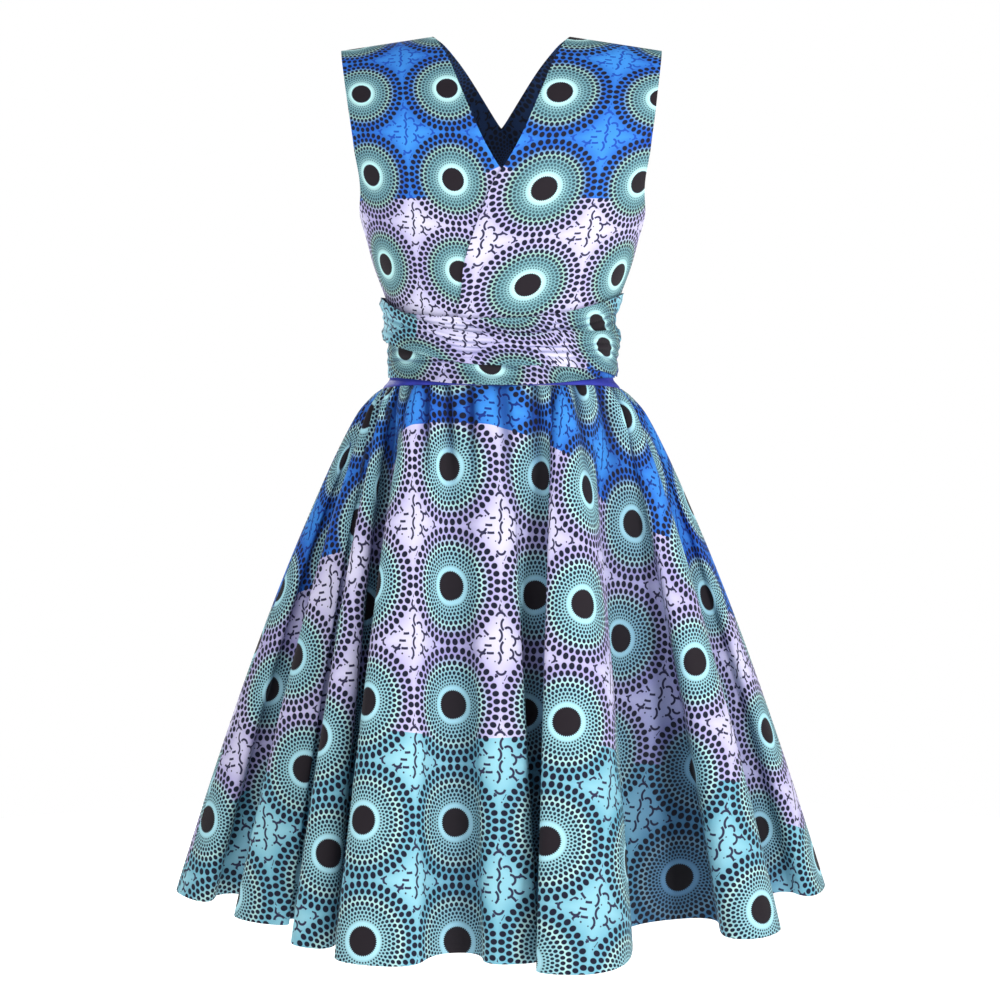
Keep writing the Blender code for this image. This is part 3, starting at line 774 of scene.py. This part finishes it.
def cloth_turn(around, out, turns):
    """Where each point lay round the flat ring. Cloth is neither stretched nor squeezed along the
    crests and valleys; what a fold has over or short is taken up on the slope between them, and
    near the gathers evenly."""
    below = soft_step(np.linspace(0.0, 1.0, len(around))[:, None] / GATHERED_DOWN_TO)
    turned = np.full_like(around, turns[-1])
    for flank, (start, end) in enumerate(zip(turns[:-1], turns[1:])):
        columns = slice(flank * FLANK_SPANS, (flank + 1) * FLANK_SPANS)
        first, last = around[:, [flank * FLANK_SPANS]], around[:, [(flank + 1) * FLANK_SPANS]]
        share = (around[:, columns] - first) / (last - first)
        natural = (last - first) / out[:, [flank * FLANK_SPANS]]
        eased = share + (soft_step(share) - share) * below
        turned[:, columns] = start + natural * share + (end - start - natural) * eased
    return turned


# Painted shade in the skirt's folds. A fold is darkest where the next crest stands over it, so its painted
# shade starts this many flanks after one crest, a valley being at 1 and the next crest at 2, and is full
# here
SHADE_STARTS = 0.45
SHADE_FULL = 1.15
LEAST_SHADE = 0.15
DEEP_FOLD = 0.085
# Painted dark lines between the gathers near the waist: their strength, and how far down the skirt they fade
# out
PLEAT_SHADE_LINES = 1.3
PLEAT_SHADE_FADES_BY = 0.22


def painted_shade_on_skirt(face):
    """The painted shade of each point of the skirt, from 0 to 1: the deeper it lies behind the line from
    crest to crest, the darker, most on the slope under the next crest, and in lines between two gathers near
    the waist."""
    plan = face[:, :, :2]
    deep = np.zeros(plan.shape[:2])
    step = 2 * FLANK_SPANS
    flank = np.arange(step + 1) / FLANK_SPANS
    turned_away = soft_step((flank - SHADE_STARTS) / (SHADE_FULL - SHADE_STARTS))
    share = LEAST_SHADE + (1 - LEAST_SHADE) * turned_away
    for first in range(0, plan.shape[1] - 1, step):
        start, end = plan[:, [first]], plan[:, [first + step]]
        chord = (end - start) / np.linalg.norm(end - start, axis=2, keepdims=True)
        away = plan[:, first:first + step + 1] - start
        behind = away[:, :, 1] * chord[:, :, 0] - away[:, :, 0] * chord[:, :, 1]
        deep[:, first:first + step + 1] = behind * share
    between = (0.5 - 0.5 * skirt_rings()[2][:, 2]) ** 2
    between = np.append(between, between[0])
    near_waist = np.clip(1 - np.linspace(0.0, 1.0, len(deep))[:, None] / PLEAT_SHADE_FADES_BY, 0, 1)
    return np.clip(deep / DEEP_FOLD + PLEAT_SHADE_LINES * between * near_waist, 0.0, 1.0)


ring = skirt_face()
side_seam = 2 * len(FRONT_FOLDS) * FLANK_SPANS
ring = np.concatenate([ring, ring[:, :1]], axis=1)
to_body = inward(ring) * COTTON
to_body[:, [0, -1]] = (to_body[:, [0]] + to_body[:, [-1]]) / 2
# Painted shade for the skirt's folds and the lines between its gathers
painted_fold_shade = painted_shade_on_skirt(ring)
back_turns = BACK_SPREAD * (np.linspace(0.0, 1.0, 2 * len(BACK_FOLDS) + 1) - 0.5)

for name, columns, turns, cut, area in (
    ("skirt_front", slice(0, side_seam + 1), FRONT_TURNS, FRONT_CUT, FRONT_AREA),
    ("skirt_back", slice(side_seam, None), back_turns, BACK_CUT, BACK_AREA),
):
    face = ring[:, columns].copy()
    around, down = run_along(face, 1), run_along(face, 0)
    for end, beside in ((0, 1), (-1, -2)):
        way = face[:, beside] - face[:, end]
        face[:, end] += way / np.linalg.norm(way, axis=1, keepdims=True) * SIDE_GAP
    out = INNER_RADIUS + down
    turn = cloth_turn(around, out, turns)
    across, along = out * np.sin(turn), out * np.cos(turn)
    columns_off = np.hypot(across / DISC_PITCH, MIDDLE_ROUNDED) - MIDDLE_ROUNDED
    sag = np.where(across < 0, *BLUE_SAGS) * np.minimum(columns_off, BLUE_SAGS_AS_FAR_AS)
    blue_to = BLUE_TO + DISC_PITCH * sag
    lavender_to = LAVENDER_TO - DISC_PITCH * LAVENDER_RISES * columns_off
    dye = (along - blue_to) / (lavender_to - blue_to)
    print_place = repeats(across, along, (0.0, FIRST_DISC_ROW), (DISC_PITCH, 0.0), (0.0, DISC_PITCH))
    piece = shell(name + "_cloth", face, print_place, dye,
                  np.stack([around, down[-1] - down], axis=2), (SKIRT_PRINT, REVERSE_WITH_PAINTED_SHADE),
                  thickness=to_body[:, columns], painted_fold_shade=painted_fold_shade[:, columns])
    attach(piece, DRESS)
    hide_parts(name)


# The wound ends of the bands
#
# The rest of each band's length, gathered by hand and wound round the waist over the waistband: a
# lower turn, an upper turn, and one that crosses over both from the right side down to the left.
# Nothing holds them but their own tension, so long soft pleats run along them.

# Height of the top and of the bottom edge at the front, the wearer's left, the back and the right,
# the number of soft ridges along the stretch and their height
WRAPS = (
    ("wrap_lower", (-0.333, -0.328, -0.334, -0.326), (-0.3880, -0.3755, -0.3755, -0.3755), 1, 0.0008),
    ("wrap_upper", (-0.306, -0.279, -0.286, -0.298), (-0.338, -0.333, -0.340, -0.336), 2, 0.0016),
    ("wrap_crossing", (-0.325, -0.320, -0.296, -0.284), (-0.366, -0.3745, -0.348, -0.332), 3, 0.0014),
)
WRAP_CLEARANCE = 0.0016
WRAP_LAY = 0.0045
WRAP_FADE = 0.0100
WRAP_OFF_THE_FLARE = 0.0015
PLEAT_RISE = 0.0006
FEWEST_PLEATS = 4
SLOW_WANDER = 0.35
QUICK_WANDER = 0.20
# How dark the painted shade is in the creases between the pleats
CREASE_SHADE = 0.75
# How far the cloth of each stretch has slipped down towards the wearer's left, and where
SLIPS = (0.022, 0.0, 0.030)
SLIP_STARTS = 0.035
SLIP_ENDS = 0.095
# The cloth is lavender in front as far as this, then blue below here on the left, and aqua behind
LAVENDER_REACHES = 0.1
BLUE_REACHES = 0.22
BLUE_BELOW = -0.350
WRAP_ROWS = 36


def round_the_waist(quarters, angle):
    """A height that eases between its four values at the front, left, back and right."""
    turn = (angle / (math.pi / 2)) % 4
    i = np.floor(turn).astype(int) % 4
    values = np.array(quarters)
    return values[i] + (values[(i + 1) % 4] - values[i]) * soft_step(turn - np.floor(turn))


def wrap_pleats(level, angle, share):
    """The fine pleats along a wound stretch, from -1 in a crease to 1 on a crest."""
    wander = SLOW_WANDER * np.sin(3 * angle + level) + QUICK_WANDER * np.sin(7 * angle + 2 * level)
    return np.sin(math.pi * share) * np.cos(2 * math.pi * ((FEWEST_PLEATS + level) * share + wander))


def wrap_out(level, angle, height):
    """How far out of the bands the outer side of a wound stretch lies."""
    over_bands = BAND_WALL + BAND_LAY + BAND_WALL + WRAP_CLEARANCE + BAND_WALL
    over_waistband = waistband_out(height - WRAP_OFF_THE_FLARE) + LAYER_GAP + BAND_WALL
    covered = soft_step((WAISTBAND_TOP + WRAP_LAY + WRAP_FADE - height) / WRAP_FADE)
    out = over_bands + (over_waistband - over_bands) * covered
    for below in WRAPS[:level]:
        top = round_the_waist(below[1], angle) + WRAP_LAY + WRAP_FADE
        bottom = round_the_waist(below[2], angle) - WRAP_LAY - WRAP_FADE
        covered = soft_step((top - height) / WRAP_FADE) * soft_step((height - bottom) / WRAP_FADE)
        out = out + covered * (below[4] + BAND_WALL + LAYER_GAP)
    top, bottom = (round_the_waist(WRAPS[level][k], angle) for k in (1, 2))
    share = (height - bottom) / (top - bottom)
    ridges = 0.5 - 0.5 * np.cos(2 * math.pi * WRAPS[level][3] * share)
    return out + WRAPS[level][4] * ridges + PLEAT_RISE * wrap_pleats(level, angle, share)


for level, (first_disc, next_across, next_down) in enumerate((
    ((-0.013, -0.3653), (0.105, -0.018), (0.0, -0.095)),
    ((0.118, -0.314), (0.118, -0.030), (0.010, -0.095)),
    ((0.010, -0.292), (0.118, -0.020), (0.015, -0.095)),
)):
    name, tops, bottoms = WRAPS[level][:3]
    angle = np.linspace(-math.pi, math.pi, WAIST_COLUMNS)[None, :]
    top, bottom = round_the_waist(tops, angle), round_the_waist(bottoms, angle)
    height = bottom + (top - bottom) * np.linspace(1.0, 0.0, WRAP_ROWS)[:, None]
    face = round_the_body(angle, height, wrap_out(level, angle, height))
    around, down = run_along(face, 1), run_along(face, 0)
    across = around - around[:, [WAIST_COLUMNS // 2]]
    rise = height + SLIPS[level] * soft_step((across - SLIP_STARTS) / (SLIP_ENDS - SLIP_STARTS))
    at_side = (across > LAVENDER_REACHES) & (across < BLUE_REACHES) & (height < BLUE_BELOW)
    dye = np.where(np.abs(across) < LAVENDER_REACHES, 0.5, np.where(at_side, -0.5, 1.5))
    pleats = wrap_pleats(level, angle, (height - bottom) / (top - bottom))
    # Painted shade in the creases of the pleats
    painted_crease_shade = CREASE_SHADE * (0.5 - 0.5 * pleats) ** 3
    piece = shell(name + "_cloth", face, repeats(across, rise, first_disc, next_across, next_down),
                  dye, np.stack([around, np.minimum(down, down[-1] - down)], axis=2),
                  (BODICE_PRINT, REVERSE_WITH_PAINTED_SHADE), painted_fold_shade=painted_crease_shade)
    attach(piece, DRESS)
    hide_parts(name)


# The studio
#
# A pale seamless floor far below the dress, which hangs as if worn, soft light from large lamps in
# front and overhead, and the camera at the photograph's height and distance.

FLOOR_RADIUS = 3.4
FLOOR_HEIGHT = -1.7
WALLS_REACH_UP_TO, WALLS_FADE = 0.24, 0.06
CEILING_GLOW, WALL_GLOW = 0.06, 1.0

bpy.ops.object.select_all(action="DESELECT")
bpy.ops.mesh.primitive_circle_add(vertices=96, radius=FLOOR_RADIUS, fill_type="NGON",
                                  location=(0, 0, FLOOR_HEIGHT))
bpy.ops.object.transform_apply(location=True, rotation=False, scale=False)
floor = bpy.context.object
floor.name = "studio_floor"
pale = bpy.data.materials.new("pale floor")
pale.use_nodes = True
paint = pale.node_tree.nodes["Principled BSDF"].inputs
paint["Base Color"].default_value = (0.92, 0.92, 0.92, 1)
paint["Roughness"].default_value = 0.9
paint["Emission Color"].default_value = (1, 1, 1, 1)
paint["Emission Strength"].default_value = 0.65
floor.data.materials.append(pale)

world = bpy.data.worlds.new("studio")
world.use_nodes = True
tree = world.node_tree
surround = tree.nodes["Background"]
surround.inputs["Color"].default_value = (1, 1, 1, 1)
direction = split_up(tree, tree.nodes.new("ShaderNodeTexCoord").outputs["Generated"])
walls = edge_at(tree, direction[2], WALLS_REACH_UP_TO, WALLS_FADE)
glow = maths(tree, "ADD", CEILING_GLOW, maths(tree, "MULTIPLY", walls, WALL_GLOW - CEILING_GLOW))
tree.links.new(glow, surround.inputs["Strength"])
bpy.context.scene.world = world

for name, place, aims_at, size, power in (
    ("key lamp", (2.3, -2.5, 0.6), (0, 0, -0.5), 0.7, 80),
    ("fill lamp", (-1.6, -3.0, 0.3), (0, 0, -0.5), 1.2, 30),
    ("top lamp", (0.0, -0.9, 2.4), (0, 0, -0.5), 1.2, 14),
    ("back lamp", (-1.4, 3.0, 0.9), (0, 0, -0.6), 1.2, 82),
):
    lamp = bpy.data.lights.new(name, "AREA")
    lamp.size, lamp.energy = size, power
    stand = bpy.data.objects.new(name, lamp)
    stand.location = place
    stand.rotation_euler = (Vector(aims_at) - Vector(place)).to_track_quat("-Z", "Y").to_euler()
    bpy.context.scene.collection.objects.link(stand)

CAMERA_PLACE = (-0.0017, -2.4, -0.274)
CAMERA_AIMS_AT = -0.517
LENS = 75.1
camera = bpy.data.objects.new("camera", bpy.data.cameras.new("camera"))
camera.data.lens = LENS
camera.location = CAMERA_PLACE
looks_down = math.atan2(CAMERA_PLACE[2] - CAMERA_AIMS_AT, -CAMERA_PLACE[1])
camera.rotation_euler = (math.pi / 2 - looks_down, 0, 0)
bpy.context.scene.collection.objects.link(camera)
bpy.context.scene.camera = camera
bpy.context.scene.view_settings.view_transform = "Standard"
